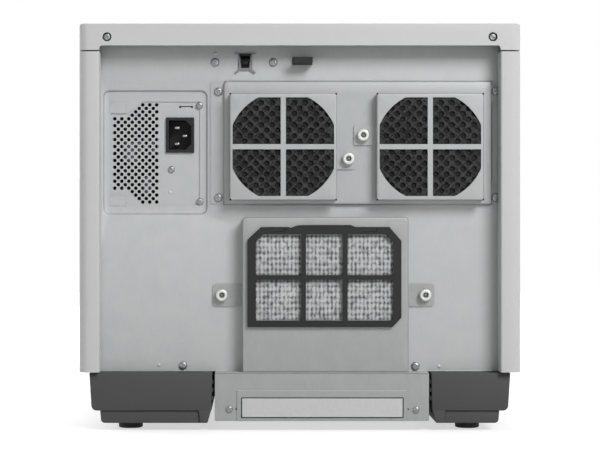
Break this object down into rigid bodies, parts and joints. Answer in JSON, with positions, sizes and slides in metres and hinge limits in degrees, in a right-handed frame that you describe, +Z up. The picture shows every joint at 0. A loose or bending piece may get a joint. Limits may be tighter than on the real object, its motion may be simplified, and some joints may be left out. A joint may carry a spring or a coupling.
{
  "type": "disc duplicator",
  "caption": "Desktop disc duplicator with a windowed front door, turning lift arm, disc stackers, drives and printer, and a rear panel with fan covers, filter and power supply.",
  "frame": {"origin": "middle of the footprint, on the surface that the feet stand on", "axes": "+X to the right seen from the front, +Y to the rear, +Z up"},
  "size_m": [0.377, 0.465, 0.348],
  "materials": {
    "casing": "light grey, fine satin paint",
    "zinc": "zinc-coated sheet, satin",
    "base": "dark grey moulded, fine texture",
    "foot": "matt",
    "black": "black moulded, satin",
    "foam": "dark perforated fibre pad",
    "filter": "pale grey non-woven filter mat",
    "nickel": "bright nickel plate",
    "plastic": "light grey moulded, fine texture",
    "window": "smoked clear plastic",
    "button": "smooth moulded",
    "stacker": "blue-grey moulded",
    "board": "green circuit board"
  },
  "bodies": {
    "chassis": {"top_cover": "casing", "side_cover_left": "casing", "side_cover_right": "casing", "top_deck": "zinc", "base_pan": "zinc", "base_rail_left": "base", "base_rail_right": "base", "bottom_cover": "zinc", "rear_panel": "zinc", "foot_front_left": "foot", "foot_front_right": "foot", "foot_rear_left": "foot", "foot_rear_right": "foot", "psu_box": "zinc", "psu_plate": "zinc", "ac_inlet": "black", "usb_socket": "black", "usb_clip": "nickel", "cable_hook": "black", "fan_cover": "zinc", "filter_housing": "zinc", "filter_pad": "filter", "fan_frame_1": "black", "fan_frame_2": "black", "fan_foam_1": "foam", "fan_foam_2": "foam", "front_frame": "plastic", "front_column": "plastic", "control_panel": "black", "cartridge_set": "black", "bay_wall": "zinc", "cage_plate": "zinc", "drive_1_body": "zinc", "drive_2_body": "zinc", "printer_body": "plastic", "main_board": "board", "stacker_1": "stacker", "stacker_2": "stacker", "stacker_3": "stacker"},
    "door": {"door_frame": "plastic", "door_window": "window"},
    "ink_door": {"ink_cover": "plastic"},
    "drawer": {"stacker_4": "plastic"},
    "tray_1": {"drive_1_tray": "black"},
    "tray_2": {"drive_2_tray": "black"},
    "tray_print": {"printer_tray": "black"},
    "carriage": {"print_carriage": "black"},
    "turret": {"turret_post": "nickel"},
    "pulley": {"lift_pulley": "black"},
    "lift": {"arm": "plastic", "gripper": "nickel"},
    "rotor_1": {"fan_rotor_1": "black"},
    "rotor_2": {"fan_rotor_2": "black"},
    "button_power": {"power_button": "button"},
    "button_ink": {"ink_button": "button"},
    "filter_door": {"filter_frame": "black"},
    "screw_1": {"thumbscrew_1": "nickel"},
    "screw_2": {"thumbscrew_2": "nickel"},
    "screw_3": {"thumbscrew_3": "nickel"},
    "screw_4": {"thumbscrew_4": "nickel"}
  },
  "joints": [
    {"name": "door_hinge", "type": "hinge", "parent": "chassis", "child": "door", "pos_m": [-0.1805, -0.2245, 0.1884], "axis": [0, 0, -1], "range_deg": [0, 110]},
    {"name": "ink_door_hinge", "type": "hinge", "parent": "chassis", "child": "ink_door", "pos_m": [0.1314, -0.2285, 0.0655], "axis": [1, 0, 0], "range_deg": [0, 80]},
    {"name": "drawer_slide", "type": "slide", "parent": "chassis", "child": "drawer", "axis": [0, -1, 0], "range_m": [0, 0.13]},
    {"name": "tray_1_slide", "type": "slide", "parent": "chassis", "child": "tray_1", "axis": [0, -1, 0], "range_m": [0, 0.135]},
    {"name": "tray_2_slide", "type": "slide", "parent": "chassis", "child": "tray_2", "axis": [0, -1, 0], "range_m": [0, 0.135]},
    {"name": "printer_tray_slide", "type": "slide", "parent": "chassis", "child": "tray_print", "axis": [0, -1, 0], "range_m": [0, 0.135]},
    {"name": "carriage_slide", "type": "slide", "parent": "chassis", "child": "carriage", "axis": [1, 0, 0], "range_m": [-0.039, 0.039]},
    {"name": "turret_turn", "type": "hinge", "parent": "chassis", "child": "turret", "pos_m": [-0.07421, -0.0755, 0.1884], "axis": [0, 0, 1], "range_deg": [-147.8, 110.2]},
    {"name": "lift_slide", "type": "slide", "parent": "turret", "child": "lift", "axis": [0, 0, 1], "range_m": [-0.218, 0]},
    {"name": "pulley_turn", "type": "hinge", "parent": "turret", "child": "pulley", "pos_m": [-0.07421, -0.0755, 0.312], "axis": [-0.3223, 0.9467, 0], "continuous": true},
    {"name": "fan_1_turn", "type": "hinge", "parent": "chassis", "child": "rotor_1", "pos_m": [0.01415, 0.2085, 0.24315], "axis": [0, 1, 0], "continuous": true},
    {"name": "fan_2_turn", "type": "hinge", "parent": "chassis", "child": "rotor_2", "pos_m": [-0.11155, 0.2085, 0.24315], "axis": [0, 1, 0], "continuous": true},
    {"name": "power_press", "type": "slide", "parent": "chassis", "child": "button_power", "axis": [0, 1, 0], "range_m": [0, 0.0012], "stiffness_N_per_m": 300},
    {"name": "ink_press", "type": "slide", "parent": "chassis", "child": "button_ink", "axis": [0, 1, 0], "range_m": [0, 0.0012], "stiffness_N_per_m": 300},
    {"name": "filter_door_hinge", "type": "hinge", "parent": "chassis", "child": "filter_door", "pos_m": [-0.0209, 0.2268, 0.089], "axis": [-1, 0, 0], "range_deg": [0, 35]},
    {"name": "screw_1_turn", "type": "hinge", "parent": "chassis", "child": "screw_1", "pos_m": [-0.0548, 0.216, 0.2534], "axis": [0, 1, 0], "continuous": true},
    {"name": "screw_2_turn", "type": "hinge", "parent": "chassis", "child": "screw_2", "pos_m": [-0.042, 0.216, 0.23315], "axis": [0, 1, 0], "continuous": true},
    {"name": "screw_3_turn", "type": "hinge", "parent": "chassis", "child": "screw_3", "pos_m": [0.0668, 0.211, 0.1158], "axis": [0, 1, 0], "continuous": true},
    {"name": "screw_4_turn", "type": "hinge", "parent": "chassis", "child": "screw_4", "pos_m": [-0.1085, 0.211, 0.1158], "axis": [0, 1, 0], "continuous": true}
  ],
  "couplings": [
    {"joint": "pulley_turn", "follows": "lift_slide", "rad_per_m": 125}
  ]
}
